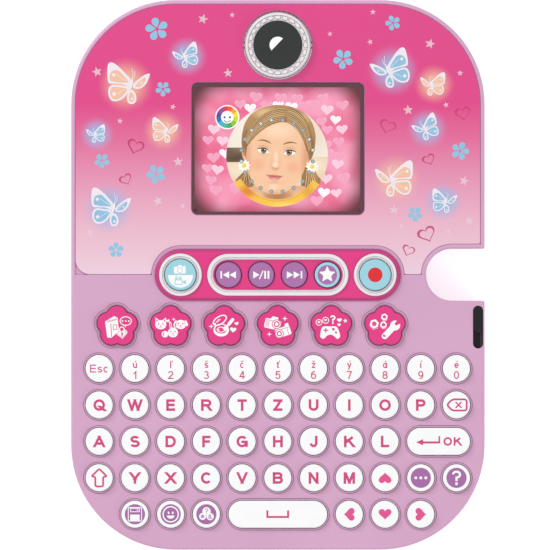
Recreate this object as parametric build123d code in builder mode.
from build123d import *
import os

# Electronic secret diary: a book-sized case that lies on its back, with a colour screen, a camera that turns over,
# a strip of play controls, six flower buttons and a letter keyboard in its face, and a hinged lid over a hidden
# compartment in its back. Millimetres. +Z comes out of the face and +Y points to the camera end. The origin is under
# the middle of the case, on the surface that it lies on.

# ---- Case ----
case_width = 170.0
case_length = 226.0
corner_radius = 43.0
face_height = 30.0
wall = 2.0
face_thickness = 2.0
seam_height = 15.0
seam_chamfer = 0.3
edge_rounding = 1.2
back_thickness = 2.0
lid_thickness = 3.0
lid_edge_rounding = 1.5
running_gap = 0.3
seat_gap = 0.05
half_width = case_width / 2
half_length = case_length / 2
back_height = lid_thickness + running_gap
back_inside = back_height + back_thickness
face_inside = face_height - face_thickness

# ---- Control strip, across the middle of the case ----
strip_length = 101.1
strip_height = 21.2
strip_thickness = 2.0
strip_recess = 0.8
strip_bevel_width = 1.25
strip_bevel_height = 0.6
ring_thickness = 0.8
ring_step_width = 0.9
ring_step_depth = 0.3
round_ring_x = 40.0
round_ring_radius = 8.75
round_button_radius = 6.4
long_ring_length = 58.0
long_ring_height = 17.2
long_ring_band = 2.4
small_button_radius = 5.2
small_button_pitch = 13.54
control_rise = 0.5
strip_seat = face_height - strip_recess
strip_top = strip_seat + strip_thickness
ring_top = strip_top + ring_thickness

# ---- Thumb notch in the right edge, in line with the strip ----
notch_radius = 10.7
notch_strip_gap = 10.35
notch_corner = 0.6
notch_x = strip_length / 2 + notch_strip_gap + notch_radius

# ---- Hinge of the back lid, in the rounded spine along the left edge ----
spine_width = 2 * lid_thickness
knuckle_length = 18.0
knuckle_pitch = 45.0
hinge_pin_radius = 1.0
hinge_pin_setback = 10.0
hinge_pin_length = case_length - 2 * corner_radius
hinge_pin_reach = half_length - corner_radius - hinge_pin_setback
pin_play = 0.06
hinge_x = -half_width + spine_width / 2
hinge_z = lid_thickness
knuckle_places = [-knuckle_pitch, 0.0, knuckle_pitch]

# ---- Camera, near the top end ----
camera_margin = 18.6
well_radius = 14.1
well_wall = 3.0
ball_radius = 13.8
camera_thickness = 8.0
camera_sink = 2.5
camera_pin_radius = 1.5
camera_pin_length = 5.6
camera_pin_hold = 3.0
trim_outer_radius = 12.9
trim_thickness = 0.9
trim_rim_width = 0.6
trim_channel_depth = 0.45
bead_count = 24
bead_circle = 11.4
bead_length = 2.2
bead_width = 1.35
lens_radius = 10.1
lens_rise = 1.8
lid_well_clearance = 0.5
camera_y = half_length - camera_margin
camera_z = face_height - camera_sink
camera_top = camera_z + camera_thickness / 2

# ---- Screen, in the room between the camera and the strip ----
window_width = 70.8
window_camera_gap = 1.3
window_strip_gap = 14.2
window_corner = 2.5
window_thickness = 1.0
window_recess = 1.2
window_ledge = 1.0
module_width = 76.0
module_end_gap = 0.4
module_thickness = 3.0
window_bottom = strip_height / 2 + window_strip_gap
window_height = camera_y - well_radius - window_camera_gap - window_bottom
window_y = window_bottom + window_height / 2
module_height = window_height - 2 * module_end_gap

# ---- Printed plate on the upper half of the face ----
plate_inset = 1.6
plate_thickness = 0.6
plate_corner = 6.2
plate_small_corner = 1.0
strip_margin = 1.25
notch_margin = 1.8

# ---- Buttons and keys ----
button_gap = 0.3
button_travel = 1.2
button_edge = 0.4
lip_height = 0.3
key_lip = 0.45
flower_lip = 0.9
tab_reach = 0.9
tab_width = 3.0
tab_thickness = 0.8
plunger_width = 3.0
plunger_length = 1.6
key_rise = 1.6
key_columns = 11
key_row_count = 5
key_side_margin = 11.6
key_bottom_margin = 14.6
key_space = 3.5
flower_reach = 8.4
flower_lobe_radius = 4.25
flower_valley_radius = 0.9
flower_rise = 1.8
flower_count = 6
flower_left_margin = 19.0
flower_right_margin = 41.0
flower_strip_gap = 10.6
flower_key_pitch = 17.3
flower_pitch = (case_width - flower_left_margin - flower_right_margin) / (flower_count - 1)
flower_y = -strip_height / 2 - flower_strip_gap
key_first_row = flower_y - flower_key_pitch
key_row_pitch = (key_first_row + half_length - key_bottom_margin) / (key_row_count - 1)
key_pitch = (case_width - 2 * key_side_margin) / (key_columns - 1)
key_radius = (min(key_pitch, key_row_pitch) - key_space) / 2
tab_top = face_inside - running_gap
plunger_end = tab_top - tab_thickness - plunger_length

# ---- Batteries, four cells side by side below the camera ----
cell_radius = 7.25
cell_length = 50.5
cell_play = 0.15
cell_count = 4
contact_thickness = 0.6
contact_size = 9.0
bay_wall = 1.8
bay_camera_gap = 3.7
door_lip = 2.2
door_play = 0.3
door_screw_tab = 8.0
bay_width = cell_count * 2 * (cell_radius + cell_play) + 2 * cell_play
bay_length = cell_length + 4 * contact_thickness + 2 * cell_play
bay_y = camera_y - well_radius - well_wall - bay_camera_gap - bay_length / 2
cell_height = back_inside + cell_play + cell_radius
bay_ceiling = cell_height + cell_radius + cell_play

# ---- Board and keypad ----
board_thickness = 1.6
mat_thickness = 0.8
mat_pad = 0.4
board_inset = 7.0
board_bay_gap = 4.6
board_clearance = 0.6
post_radius = 2.5
post_height = 2.5
post_spacing = 40.0
mat_top = plunger_end - button_travel - running_gap
board_top = mat_top - mat_pad - mat_thickness
board_bottom = board_top - board_thickness
board_top_y = bay_y - bay_length / 2 - bay_wall - board_bay_gap

# ---- Screws ----
boss_radius = 4.2
thread_boss_radius = 3.2
screw_radius = 1.2
screw_play = 0.05
screw_head_radius = 2.6
screw_head_height = 1.8
screw_seat = 9.0
screw_end_gap = 3.0
screw_length = face_inside - screw_end_gap - screw_seat
key_gap_x = 4.5 * key_pitch
key_gap_y = key_first_row - 0.5 * key_row_pitch
boss_places = [
    (side * x, y)
    for side in (-1, 1)
    for x, y in [
        (33.0, half_length - 12.0),
        (half_width - 10.0, 30.0),
        (key_gap_x, key_gap_y),
        (2.5 * key_pitch, -half_length + 7.5),
    ]
]

# ---- Lock ----
lock_slot_width = 4.2
lock_slot_length = 17.6
lock_slot_edge = 0.6
lock_slot_y = -21.5
lock_knob_length = 11.0
lock_travel = 5.4
lock_rise = 0.5
lock_bar_thickness = 1.2
lock_stem_thickness = 2.0
lock_bar_shelf = 1.2
lock_stem_length = 8.0
lock_foot_length = 3.5
lock_foot_thickness = 1.6
catch_width = 3.0
catch_post = 3.6
catch_nose = 4.4
catch_thickness = 2.0
lock_slot_x = half_width - lock_slot_edge - lock_slot_width / 2
lock_slot_top = lock_slot_y + lock_slot_length / 2
lock_bar_top = face_inside - running_gap
lock_bar_bottom = lock_bar_top - lock_bar_thickness
lock_bar_y = (lock_slot_y - lock_slot_length / 2 - 7.7, lock_slot_top - 0.5)
lock_stem_x = (half_width - wall - running_gap - lock_stem_thickness, half_width - wall - running_gap)
lock_stem_y = (lock_slot_y - 8.5, lock_slot_y - 8.5 + lock_stem_length)
lock_foot_y = (lock_slot_y - 6.1, lock_slot_y - 6.1 + lock_foot_length)
lock_foot_z = (back_inside + 0.7, back_inside + 0.7 + lock_foot_thickness)
catch_x = (lock_stem_x[0] - 0.9 - catch_width, lock_stem_x[0] - 0.9)
catch_nose_end = lock_foot_y[0] - 1.4
catch_nose_z = (lock_foot_z[1] + 0.4, lock_foot_z[1] + 0.4 + catch_thickness)
catch_y = (catch_nose_end - catch_nose - catch_post, catch_nose_end)

# ---- Speaker ----
speaker_width = 38.0
speaker_depth = 7.0
speaker_height = 14.0
speaker_cone_radius = 5.6
grille_slots = 9
grille_pitch = 3.6
grille_slot_width = 1.6
grille_slot_height = 6.0
grille_height = 10.5

# ---- Hidden compartment, under the board and above the speaker ----
bin_wall = 1.8
bin_top_y = -16.0
bin_corner = 20.0
bin_boss_gap = 2.06
bin_speaker_gap = 5.9
bin_width = 2 * (key_gap_x - boss_radius - bin_boss_gap - bin_wall)
bin_bottom_y = -half_length + wall + running_gap + speaker_depth + bin_speaker_gap + bin_wall
bin_length = bin_top_y - bin_bottom_y
bin_y = (bin_top_y + bin_bottom_y) / 2
bin_outside = board_bottom - post_height
bin_ceiling = bin_outside - bin_wall


def block(x_span, y_span, z_span, mode=Mode.ADD):
    """A box between two opposite corners, added to or cut from the piece being made."""
    with Locations((sum(x_span) / 2, sum(y_span) / 2, sum(z_span) / 2)):
        Box(x_span[1] - x_span[0], y_span[1] - y_span[0], z_span[1] - z_span[0], mode=mode)


def post(places, radius, z_span, mode=Mode.ADD):
    """An upright cylinder at each place."""
    with Locations(*[(x, y, sum(z_span) / 2) for x, y in places]):
        Cylinder(radius, z_span[1] - z_span[0], mode=mode)


def case_outline(inset=0.0):
    """The rounded book outline, drawn inset from the case's own edge."""
    RectangleRounded(case_width - 2 * inset, case_length - 2 * inset, corner_radius - inset)


def notch_outline(margin=0.0):
    """The D-shaped thumb notch, open at the right edge, cut from the sketch being drawn."""
    reach = half_width - notch_x + notch_radius
    with Locations((notch_x, 0)):
        Circle(notch_radius + margin, mode=Mode.SUBTRACT)
    with Locations((notch_x + reach / 2, 0)):
        Rectangle(reach, 2 * (notch_radius + margin), mode=Mode.SUBTRACT)


def round_notch_mouth(sketch):
    """Rounds the two corners where the thumb notch meets the right edge."""
    mouth = sketch.vertices().filter_by(
        lambda v: v.X > half_width - 0.01 and abs(v.Y) < notch_radius + 0.01
    )
    fillet(mouth, notch_corner)


def flower(grow=0.0):
    """A five-lobed flower with one lobe up, grown all round by a margin."""
    with BuildSketch(mode=Mode.PRIVATE) as petals:
        with PolarLocations(flower_reach - flower_lobe_radius, 5, start_angle=90):
            Circle(flower_lobe_radius + grow)
        Circle(flower_reach - flower_lobe_radius)
        if flower_valley_radius > grow:
            fillet(petals.vertices(), flower_valley_radius - grow)
    add(petals.sketch)


def button_outlines(key_margin, flower_margin):
    """The outlines of all keys and flower buttons, each grown all round by its margin."""
    with Locations(*round_key_places):
        Circle(key_radius + key_margin)
    for place, length in wide_key_spans:
        with Locations(place):
            SlotCenterToCenter(length, 2 * (key_radius + key_margin))
    with Locations(*flower_places):
        flower(flower_margin)


def save(piece, name):
    piece.part.label = name
    export_step(piece.part, f"parts/{name}.step")


def key_place(column, row):
    """The centre of a key, with columns from the left and rows from the top."""
    return ((column - (key_columns - 1) / 2) * key_pitch, key_first_row - row * key_row_pitch)


def wide_key_place(first, last, row):
    return (key_place((first + last) / 2, row)[0], key_place(first, row)[1])


def tabs_and_plungers(places, half_reach):
    """Two tabs that catch under the face, and a square plunger over the keypad, below each cap."""
    for x, y in places:
        block((x - tab_width / 2, x + tab_width / 2), (y - half_reach - tab_reach, y + half_reach + tab_reach),
              (tab_top - tab_thickness, tab_top))
        block((x - plunger_width / 2, x + plunger_width / 2), (y - plunger_width / 2, y + plunger_width / 2),
              (plunger_end, tab_top))


def caps(outline, places, top, half_reach, edge=button_edge):
    """Button caps of one outline, with eased top edges, at each place."""
    with BuildSketch(Plane.XY.offset(tab_top - tab_thickness)) as cap_outlines:
        with Locations(*places):
            outline()
    extrude(cap_outlines.sketch, amount=top - tab_top + tab_thickness)
    chamfer(edges().group_by(Axis.Z)[-1], edge)
    tabs_and_plungers(places, half_reach)


os.makedirs("parts", exist_ok=True)

# The keyboard: single keys with their own work, and the like keys of a row together
single_keys = {
    "escape_key": (0, 0),
    "backspace_key": (10, 1),
    "shift_key": (0, 3),
    "heart_up_key": (8, 3),
    "menu_key": (9, 3),
    "help_key": (10, 3),
    "save_key": (1, 4),
    "smiley_key": (2, 4),
    "symbol_key": (3, 4),
    "heart_left_key": (7, 4),
    "heart_down_key": (8, 4),
    "heart_right_key": (9, 4),
}
key_rows = {
    "digit_keys": [(i, 0) for i in range(1, 11)],
    "top_letter_keys": [(i, 1) for i in range(0, 10)],
    "home_letter_keys": [(i, 2) for i in range(0, 9)],
    "bottom_letter_keys": [(i, 3) for i in range(1, 8)],
}
wide_keys = {"enter_key": (9, 10, 2), "space_key": (4, 6, 4)}
flower_buttons = ["diary_button", "animals_button", "beauty_button", "photo_button", "games_button", "tools_button"]
small_buttons = ["previous_button", "play_button", "next_button", "star_button"]
round_buttons = {"photo_video_button": -round_ring_x, "record_button": round_ring_x}

round_key_places = [key_place(*p) for p in single_keys.values()]
for row in key_rows.values():
    round_key_places += [key_place(*p) for p in row]
wide_key_spans = [(wide_key_place(*p), (p[1] - p[0]) * key_pitch) for p in wide_keys.values()]
flower_places = [(-half_width + flower_left_margin + i * flower_pitch, flower_y) for i in range(flower_count)]
small_button_places = [((i - 1.5) * small_button_pitch, 0.0) for i in range(4)]
key_top = face_height + key_rise
control_top = ring_top + control_rise

# ---- Front casing: the face, its side walls and the camera well, in one moulding ----
with BuildPart() as front_casing:
    with BuildSketch(Plane.XY.offset(seam_height)) as outline:
        case_outline()
        notch_outline()
        round_notch_mouth(outline)
    extrude(amount=face_height - seam_height)
    fillet(faces().sort_by(Axis.Z)[-1].outer_wire().edges(), edge_rounding)
    chamfer(faces().sort_by(Axis.Z)[0].outer_wire().edges(), seam_chamfer)
    with BuildSketch(Plane.XY.offset(seam_height)):
        case_outline(wall)
        notch_outline(wall)
        with Locations((0, camera_y)):
            Circle(well_radius + well_wall, mode=Mode.SUBTRACT)
    extrude(amount=face_inside - seam_height, mode=Mode.SUBTRACT)
    block((-module_width / 2, module_width / 2), (window_y, window_y + module_height / 2 + seat_gap),
          (seam_height, face_inside), mode=Mode.SUBTRACT)
    post(boss_places, thread_boss_radius, (seam_height, face_inside))
    post(boss_places, screw_radius + screw_play, (seam_height, screw_seat + screw_length + 1), mode=Mode.SUBTRACT)
    post([(0, camera_y)], well_radius, (seam_height, face_height), mode=Mode.SUBTRACT)
    with Locations(Location((0, camera_y, camera_z), (0, 90, 0))):
        Cylinder(camera_pin_radius + pin_play, 2 * (well_radius + well_wall), mode=Mode.SUBTRACT)
    # seats for the printed plate, the control strip and the screen window
    with BuildSketch(Plane.XY.offset(face_height)) as plate_seat:
        case_outline(plate_inset - seat_gap)
        with Locations((0, -half_length)):
            Rectangle(case_width, case_length, mode=Mode.SUBTRACT)
        SlotOverall(strip_length + 2 * strip_margin, strip_height + 2 * strip_margin, mode=Mode.SUBTRACT)
        notch_outline(notch_margin)
    extrude(amount=-plate_thickness, mode=Mode.SUBTRACT)
    with BuildSketch(Plane.XY.offset(face_height)):
        SlotOverall(strip_length + 2 * seat_gap, strip_height + 2 * seat_gap)
    extrude(amount=-strip_recess, mode=Mode.SUBTRACT)
    with BuildSketch(Plane.XY.offset(face_height)):
        with Locations((0, window_y)):
            RectangleRounded(window_width + 2 * seat_gap, window_height + 2 * seat_gap, window_corner)
    extrude(amount=-window_recess, mode=Mode.SUBTRACT)
    # lips round the keys and flower buttons, and the openings through the face
    with BuildSketch(Plane.XY.offset(face_height)):
        button_outlines(button_gap + key_lip, button_gap + flower_lip)
    extrude(amount=lip_height)
    with BuildSketch(Plane.XY.offset(face_height + lip_height)):
        button_outlines(button_gap, button_gap)
    extrude(amount=-lip_height - face_thickness, mode=Mode.SUBTRACT)
    with BuildSketch(Plane.XY.offset(face_height)):
        with Locations((0, window_y)):
            RectangleRounded(window_width - 2 * window_ledge, window_height - 2 * window_ledge, window_corner)
        with Locations(*[(x, 0) for x in round_buttons.values()]):
            Circle(round_button_radius + button_gap)
        with Locations(*small_button_places):
            Circle(small_button_radius + button_gap)
    extrude(amount=-face_thickness, mode=Mode.SUBTRACT)
    with BuildSketch(Plane.XY.offset(face_height)):
        with Locations((lock_slot_x, lock_slot_y)):
            SlotOverall(lock_slot_length, lock_slot_width, rotation=90)
    extrude(amount=-(face_thickness + 2 * running_gap), mode=Mode.SUBTRACT)
    # ledges that carry the lock's bar
    for y in (lock_slot_y - 0.2, lock_slot_y - 17.0):
        block((lock_stem_x[0] - lock_bar_shelf, half_width - wall), (y, y + 2.7),
              (lock_bar_bottom - running_gap - wall, lock_bar_bottom - running_gap))
save(front_casing, "front_casing")

# ---- Rear casing: the back, the spine with its hinge knuckles, the compartment and the battery bay ----
with BuildPart() as rear_casing:
    with BuildSketch(Plane.XY.offset(back_height)) as outline:
        case_outline()
        notch_outline()
        round_notch_mouth(outline)
    extrude(amount=seam_height - back_height)
    chamfer(faces().sort_by(Axis.Z)[-1].outer_wire().edges(), seam_chamfer)
    with BuildSketch(Plane.XY.offset(back_inside)):
        case_outline(wall)
        notch_outline(wall)
        with Locations((0, camera_y)):
            Circle(well_radius + well_wall, mode=Mode.SUBTRACT)
    extrude(amount=seam_height - back_inside, mode=Mode.SUBTRACT)
    # compartment and battery bay stand up inside as two tubs
    with BuildSketch(Plane.XY.offset(back_height)):
        with Locations((0, bin_y)):
            RectangleRounded(bin_width + 2 * bin_wall, bin_length + 2 * bin_wall, bin_corner + bin_wall)
    extrude(amount=bin_outside - back_height)
    block((-bay_width / 2 - bay_wall, bay_width / 2 + bay_wall),
          (bay_y - bay_length / 2 - bay_wall, bay_y + bay_length / 2 + bay_wall), (back_height, bay_ceiling + bay_wall))
    with BuildSketch(Plane.XY.offset(back_height)):
        with Locations((0, bin_y)):
            RectangleRounded(bin_width, bin_length, bin_corner)
    extrude(amount=bin_ceiling - back_height, mode=Mode.SUBTRACT)
    block((-bay_width / 2, bay_width / 2), (bay_y - bay_length / 2, bay_y + bay_length / 2),
          (back_height, bay_ceiling), mode=Mode.SUBTRACT)
    block((-bay_width / 2 - door_lip, bay_width / 2 + door_lip + door_screw_tab),
          (bay_y - bay_length / 2 - door_lip, bay_y + bay_length / 2 + door_lip),
          (back_height, back_height + back_thickness / 2), mode=Mode.SUBTRACT)
    # bosses for the casing screws and posts for the board
    post(boss_places, boss_radius, (back_height, seam_height))
    post(boss_places, screw_head_radius + running_gap, (back_height, screw_seat), mode=Mode.SUBTRACT)
    post(boss_places, screw_radius + running_gap, (screw_seat, seam_height), mode=Mode.SUBTRACT)
    board_posts = [(x, y) for x in (-2.5 * key_pitch, 2.5 * key_pitch) for y in (bin_y - post_spacing / 2, bin_y + post_spacing / 2)]
    post(board_posts, post_radius, (bin_outside, board_bottom))
    door_screw_place = (bay_width / 2 + door_lip + door_screw_tab / 2, bay_y)
    post([door_screw_place], boss_radius, (back_height + back_thickness / 2, seam_height))
    post([door_screw_place], screw_radius + screw_play, (back_height, seam_height), mode=Mode.SUBTRACT)
    # camera well and speaker grille
    post([(0, camera_y)], well_radius, (0, seam_height), mode=Mode.SUBTRACT)
    with Locations(*[((i - (grille_slots - 1) / 2) * grille_pitch, -half_length, grille_height)
                     for i in range(grille_slots)]):
        Box(grille_slot_width, 4 * wall, grille_slot_height, mode=Mode.SUBTRACT)
    # window in the back for the lid's catch
    block((catch_x[0] - 0.5, catch_x[1] + 0.5), (catch_y[0] - 0.4, catch_y[1] + 0.6),
          (back_height, back_inside), mode=Mode.SUBTRACT)
    # spine: square above, half round below, inside the case outline, with a pocket for each lid knuckle
    with BuildSketch(Plane.XZ.offset(-half_length)) as spine_profile:
        with Locations((hinge_x, hinge_z)):
            Circle(spine_width / 2)
        with Locations((hinge_x, (hinge_z + back_inside) / 2)):
            Rectangle(spine_width, back_inside - hinge_z)
    with BuildPart(mode=Mode.PRIVATE) as spine:
        with BuildSketch(Plane.XY):
            case_outline()
        extrude(amount=back_inside)
        extrude(spine_profile.sketch, amount=case_length, mode=Mode.INTERSECT)
    add(spine.part)
    for y in knuckle_places:
        block((-half_width, -half_width + spine_width + running_gap),
              (y - knuckle_length / 2 - running_gap, y + knuckle_length / 2 + running_gap),
              (0, hinge_z + spine_width / 2 + running_gap), mode=Mode.SUBTRACT)
    with Locations(Location((hinge_x, hinge_pin_reach - case_length / 2, hinge_z), (90, 0, 0))):
        Cylinder(hinge_pin_radius + pin_play / 3, case_length, mode=Mode.SUBTRACT)
save(rear_casing, "rear_casing")

# ---- Back lid ----
lid_edge_x = -half_width + spine_width + running_gap
with BuildPart() as rear_lid:
    with BuildSketch(Plane.XY) as outline:
        case_outline()
        notch_outline()
        round_notch_mouth(outline)
        with Locations((0, camera_y)):
            Circle(well_radius + lid_well_clearance, mode=Mode.SUBTRACT)
        with Locations((lid_edge_x - half_width, 0)):
            Rectangle(case_width, case_length, mode=Mode.SUBTRACT)
    extrude(amount=lid_thickness)
    fillet(faces().sort_by(Axis.Z)[0].outer_wire().edges().filter_by(
        lambda e: e.center().X > lid_edge_x + 0.01), lid_edge_rounding)
    for y in knuckle_places:
        with Locations(Location((hinge_x, y, hinge_z), (90, 0, 0))):
            Cylinder(spine_width / 2, knuckle_length)
        block((hinge_x, lid_edge_x + 1), (y - knuckle_length / 2, y + knuckle_length / 2), (0, lid_thickness))
    with Locations(Location((hinge_x, 0, hinge_z), (90, 0, 0))):
        Cylinder(hinge_pin_radius + pin_play, case_length, mode=Mode.SUBTRACT)
save(rear_lid, "rear_lid")

with BuildPart() as hinge_pin:
    with Locations(Location((hinge_x, hinge_pin_reach - hinge_pin_length / 2, hinge_z), (90, 0, 0))):
        Cylinder(hinge_pin_radius, hinge_pin_length)
    chamfer(edges(), hinge_pin_radius / 4)
save(hinge_pin, "hinge_pin")

# Catch on the lid: a post with a nose that the lock's foot slides under
with BuildPart() as lid_catch:
    block(catch_x, (catch_y[0], catch_y[0] + catch_post), (lid_thickness, catch_nose_z[1]))
    block(catch_x, catch_y, catch_nose_z)
    nose_edge = edges().filter_by(Axis.X).sort_by(Axis.Y)[-2:].sort_by(Axis.Z)[-1]
    chamfer(nose_edge, catch_thickness / 2)
save(lid_catch, "lid_catch")

# ---- Lock: a knob in the face's slot, on a bar whose foot holds the lid's catch ----
with BuildPart() as lock_bar:
    block((lock_stem_x[0] - lock_bar_shelf, lock_stem_x[1]), lock_bar_y, (lock_bar_bottom, lock_bar_top))
    block(lock_stem_x, lock_stem_y, (lock_foot_z[0], lock_bar_top))
    block((catch_x[0], lock_stem_x[1]), lock_foot_y, lock_foot_z)
save(lock_bar, "lock_bar")

with BuildPart() as lock_knob:
    with BuildSketch(Plane.XY.offset(lock_bar_top)):
        with Locations((lock_slot_x, lock_slot_top - running_gap - lock_knob_length / 2)):
            SlotOverall(lock_knob_length, lock_slot_width - 2 * running_gap, rotation=90)
    extrude(amount=face_height + lock_rise - lock_bar_top)
    chamfer(faces().sort_by(Axis.Z)[-1].edges(), lock_rise / 2)
save(lock_knob, "lock_knob")

# ---- Printed plate ----
with BuildPart() as printed_faceplate:
    with BuildSketch(Plane.XY.offset(face_height - plate_thickness)) as plate:
        case_outline(plate_inset)
        with Locations((0, -half_length)):
            Rectangle(case_width, case_length, mode=Mode.SUBTRACT)
        SlotOverall(strip_length + 2 * strip_margin, strip_height + 2 * strip_margin, mode=Mode.SUBTRACT)
        notch_outline(notch_margin)
        lower_corners = plate.vertices().filter_by(lambda v: v.Y < 0.01).sort_by(Axis.X)
        notch_corner_above = plate.vertices().filter_by(lambda v: v.X > half_width - plate_inset - 0.01)
        fillet(lower_corners[1:] + notch_corner_above.sort_by(Axis.Y)[:1], plate_small_corner)
        fillet(plate.vertices().sort_by(lambda v: v.X + v.Y)[0], plate_corner)
        with Locations((0, camera_y)):
            Circle(well_radius, mode=Mode.SUBTRACT)
        with Locations((0, window_y)):
            RectangleRounded(window_width + 2 * seat_gap, window_height + 2 * seat_gap, window_corner,
                             mode=Mode.SUBTRACT)
    extrude(amount=plate_thickness)
save(printed_faceplate, "printed_faceplate")

# ---- Screen ----
with BuildPart() as screen_window:
    with BuildSketch(Plane.XY.offset(face_height - window_recess)):
        with Locations((0, window_y)):
            RectangleRounded(window_width, window_height, window_corner)
    extrude(amount=window_thickness)
save(screen_window, "screen_window")

with BuildPart() as screen_module:
    block((-module_width / 2, module_width / 2), (window_y - module_height / 2, window_y + module_height / 2),
          (face_inside - module_thickness, face_inside))
    chamfer(edges().filter_by(Axis.Z), window_corner)
save(screen_module, "screen_module")

# ---- Control strip, its bright rings and its buttons ----
with BuildPart() as control_strip:
    with BuildSketch(Plane.XY.offset(strip_seat)):
        SlotOverall(strip_length, strip_height)
        with Locations(*[(x, 0) for x in round_buttons.values()]):
            Circle(round_button_radius + button_gap, mode=Mode.SUBTRACT)
        with Locations(*small_button_places):
            Circle(small_button_radius + button_gap, mode=Mode.SUBTRACT)
    extrude(amount=strip_thickness)
    top_face = faces().sort_by(Axis.Z)[-1]
    chamfer(top_face.outer_wire().edges(), strip_bevel_width, strip_bevel_height, reference=top_face)
save(control_strip, "control_strip")

with BuildPart() as round_rings:
    with BuildSketch(Plane.XY.offset(strip_top)):
        with Locations(*[(x, 0) for x in round_buttons.values()]):
            Circle(round_ring_radius)
            Circle(round_button_radius + button_gap, mode=Mode.SUBTRACT)
    extrude(amount=ring_thickness)
    chamfer(faces().filter_by(lambda f: f.center().Z > ring_top - 0.01).edges(), ring_thickness / 3)
    with BuildSketch(Plane.XY.offset(ring_top)):
        with Locations(*[(x, 0) for x in round_buttons.values()]):
            Circle(round_button_radius + button_gap + ring_step_width)
    extrude(amount=-ring_step_depth, mode=Mode.SUBTRACT)
save(round_rings, "round_rings")

with BuildPart() as long_ring:
    with BuildSketch(Plane.XY.offset(strip_top)):
        SlotOverall(long_ring_length, long_ring_height)
        SlotOverall(long_ring_length - 2 * long_ring_band, long_ring_height - 2 * long_ring_band, mode=Mode.SUBTRACT)
    extrude(amount=ring_thickness)
    chamfer(faces().sort_by(Axis.Z)[-1].edges(), ring_thickness / 3)
    with BuildSketch(Plane.XY.offset(ring_top)):
        band_left = long_ring_band - ring_step_width
        SlotOverall(long_ring_length - 2 * band_left, long_ring_height - 2 * band_left)
    extrude(amount=-ring_step_depth, mode=Mode.SUBTRACT)
save(long_ring, "long_ring")

for name, x in round_buttons.items():
    with BuildPart() as button:
        caps(lambda: Circle(round_button_radius), [(x, 0)], control_top, round_button_radius)
    save(button, name)
for name, place in zip(small_buttons, small_button_places):
    with BuildPart() as button:
        caps(lambda: Circle(small_button_radius), [place], control_top - control_rise, small_button_radius)
    save(button, name)
for name, place in zip(flower_buttons, flower_places):
    with BuildPart() as button:
        caps(flower, [place], face_height + flower_rise, flower_reach)
    save(button, name)

# ---- Keys ----
for name, spot in single_keys.items():
    with BuildPart() as key:
        caps(lambda: Circle(key_radius), [key_place(*spot)], key_top, key_radius)
    save(key, name)
for name, spots in key_rows.items():
    with BuildPart() as keys:
        caps(lambda: Circle(key_radius), [key_place(*s) for s in spots], key_top, key_radius)
    save(keys, name)
for name, (place, length) in zip(wide_keys, wide_key_spans):
    with BuildPart() as key:
        caps(lambda: SlotCenterToCenter(length, 2 * key_radius), [place], key_top, key_radius)
    save(key, name)

# ---- Keypad mat and main board ----
board_outline_places = round_key_places + flower_places + small_button_places + [
    (x, 0) for x in round_buttons.values()
] + [place for place, length in wide_key_spans]


def board_shape():
    """The board fills the lower half of the case, clear of the thumb notch and the screw bosses."""
    case_outline(board_inset)
    with Locations((0, board_top_y + half_length)):
        Rectangle(case_width, case_length, mode=Mode.SUBTRACT)
    notch_outline(wall + board_clearance)
    with Locations(*[p for p in boss_places if p[1] < board_top_y]):
        Circle(thread_boss_radius + board_clearance, mode=Mode.SUBTRACT)


with BuildPart() as keypad_mat:
    with BuildSketch(Plane.XY.offset(board_top)):
        board_shape()
    extrude(amount=mat_thickness)
    for x, y in board_outline_places:
        block((x - plunger_width / 2, x + plunger_width / 2), (y - plunger_width / 2, y + plunger_width / 2),
              (board_top + mat_thickness, mat_top))
save(keypad_mat, "keypad_mat")

with BuildPart() as main_board:
    with BuildSketch(Plane.XY.offset(board_bottom)):
        board_shape()
    extrude(amount=board_thickness)
save(main_board, "main_board")

# ---- Batteries, contacts and door ----
cell_x = [(i - (cell_count - 1) / 2) * 2 * (cell_radius + cell_play) for i in range(cell_count)]
with BuildPart() as batteries:
    for i, x in enumerate(cell_x):
        nub = 1 if i % 2 else -1
        with Locations(Location((x, bay_y, cell_height), (90, 0, 0))):
            Cylinder(cell_radius, cell_length - 2 * contact_thickness)
        with Locations(Location((x, bay_y + nub * (cell_length - contact_thickness) / 2, cell_height), (90, 0, 0))):
            Cylinder(cell_radius / 2.7, contact_thickness)
save(batteries, "batteries")

with BuildPart() as battery_contacts:
    for x in cell_x:
        for side in (-1, 1):
            y = bay_y + side * (bay_length - contact_thickness) / 2
            block((x - contact_size / 2, x + contact_size / 2), (y - contact_thickness / 2, y + contact_thickness / 2),
                  (cell_height - contact_size / 2, cell_height + contact_size / 2))
save(battery_contacts, "battery_contacts")

with BuildPart() as battery_door:
    block((-bay_width / 2 - door_lip + door_play, bay_width / 2 + door_lip + door_screw_tab - door_play),
          (bay_y - bay_length / 2 - door_lip + door_play, bay_y + bay_length / 2 + door_lip - door_play),
          (back_height, back_height + back_thickness / 2))
    block((-bay_width / 2 + door_play, bay_width / 2 - door_play),
          (bay_y - bay_length / 2 + door_play, bay_y + bay_length / 2 - door_play),
          (back_height, back_inside - running_gap))
    post([door_screw_place], screw_radius + running_gap, (back_height, back_inside), mode=Mode.SUBTRACT)
save(battery_door, "battery_door")

# ---- Speaker, behind the slots in the bottom wall ----
with BuildPart() as speaker:
    speaker_y = (-half_length + wall + running_gap, -half_length + wall + running_gap + speaker_depth)
    block((-speaker_width / 2, speaker_width / 2), speaker_y, (back_inside, back_inside + speaker_height))
    chamfer(edges().filter_by(Axis.Y), 1.5)
    with Locations(*[Location((x, speaker_y[0], back_inside + speaker_height / 2), (90, 0, 0))
                     for x in (-speaker_width / 4, speaker_width / 4)]):
        Cylinder(speaker_cone_radius, 2.0, mode=Mode.SUBTRACT)
save(speaker, "speaker")

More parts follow.
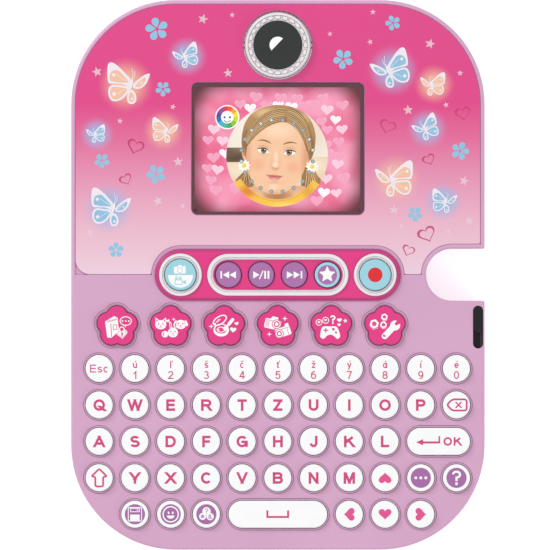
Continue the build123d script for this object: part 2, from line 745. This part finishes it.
# ---- Screws ----
with BuildPart() as casing_screws:
    post(boss_places, screw_head_radius, (screw_seat - screw_head_height, screw_seat))
    post(boss_places, screw_radius, (screw_seat, screw_seat + screw_length))
save(casing_screws, "casing_screws")

with BuildPart() as battery_door_screw:
    post([door_screw_place], screw_radius, (back_height, seam_height - wall))
save(battery_door_screw, "battery_door_screw")

# ---- Camera: a slice of a ball that turns over on two pins in its well ----
pin_spots = [(side * (ball_radius - camera_pin_hold + camera_pin_length / 2), camera_y, camera_z) for side in (-1, 1)]
with BuildPart() as camera_ball:
    with Locations((0, camera_y, camera_z)):
        Sphere(ball_radius)
    split(bisect_by=Plane.XY.offset(camera_top), keep=Keep.BOTTOM)
    split(bisect_by=Plane.XY.offset(camera_z - camera_thickness / 2), keep=Keep.TOP)
    with Locations(*[Location(spot, (0, 90, 0)) for spot in pin_spots]):
        Cylinder(camera_pin_radius, camera_pin_length, mode=Mode.SUBTRACT)
save(camera_ball, "camera_ball")

with BuildPart() as camera_pins:
    with Locations(*[Location(spot, (0, 90, 0)) for spot in pin_spots]):
        Cylinder(camera_pin_radius, camera_pin_length)
save(camera_pins, "camera_pins")

with BuildPart() as camera_trim:
    with BuildSketch(Plane.XY.offset(camera_top)):
        with Locations((0, camera_y)):
            Circle(trim_outer_radius)
            Circle(lens_radius + seat_gap, mode=Mode.SUBTRACT)
    extrude(amount=trim_thickness)
    with BuildSketch(Plane.XY.offset(camera_top + trim_thickness)) as channel:
        with Locations((0, camera_y)):
            Circle(trim_outer_radius - trim_rim_width)
            Circle(lens_radius + seat_gap, mode=Mode.SUBTRACT)
            with PolarLocations(bead_circle, bead_count):
                SlotOverall(bead_length, bead_width, rotation=90, mode=Mode.SUBTRACT)
    extrude(amount=-trim_channel_depth, mode=Mode.SUBTRACT)
    chamfer(edges().group_by(Axis.Z)[-1], trim_rim_width / 4)
save(camera_trim, "camera_trim")

dome_radius = (lens_radius**2 + lens_rise**2) / (2 * lens_rise)
with BuildPart() as camera_lens:
    with BuildSketch(Plane.XZ.offset(-camera_y)) as lens_profile:
        with BuildLine():
            Line((0, camera_top), (lens_radius, camera_top))
            RadiusArc((lens_radius, camera_top), (0, camera_top + lens_rise), -dome_radius)
            Line((0, camera_top + lens_rise), (0, camera_top))
        make_face()
    revolve(axis=Axis((0, camera_y, 0), (0, 0, 1)))
save(camera_lens, "camera_lens")
